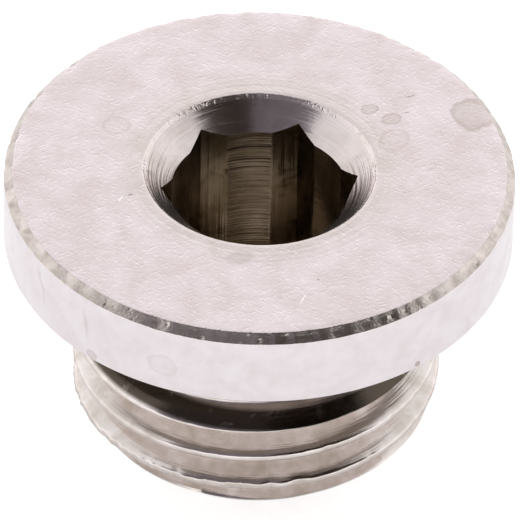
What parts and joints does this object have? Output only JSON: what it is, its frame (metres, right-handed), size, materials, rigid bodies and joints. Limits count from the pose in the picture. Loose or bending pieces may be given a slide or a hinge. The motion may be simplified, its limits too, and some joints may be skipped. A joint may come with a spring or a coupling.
{
  "type": "blind plug",
  "caption": "Screw-in blind plug for a tapped port: round flange with a countersunk hexagon socket over a short threaded shank with a relief groove.",
  "frame": {"origin": "on the axis in the sealing plane, which is the underside of the flange", "axes": "+Z along the axis out of the socket, -Z the way the plug is screwed in, a corner of the hexagon along +X"},
  "size_m": [0.018, 0.018, 0.011],
  "materials": {
    "nickel_plated_brass": "turned brass, nickel plated, satin, with tumbling scratches and water stains"
  },
  "bodies": {
    "root": {"plug": "nickel_plated_brass"}
  },
  "joints": []
}
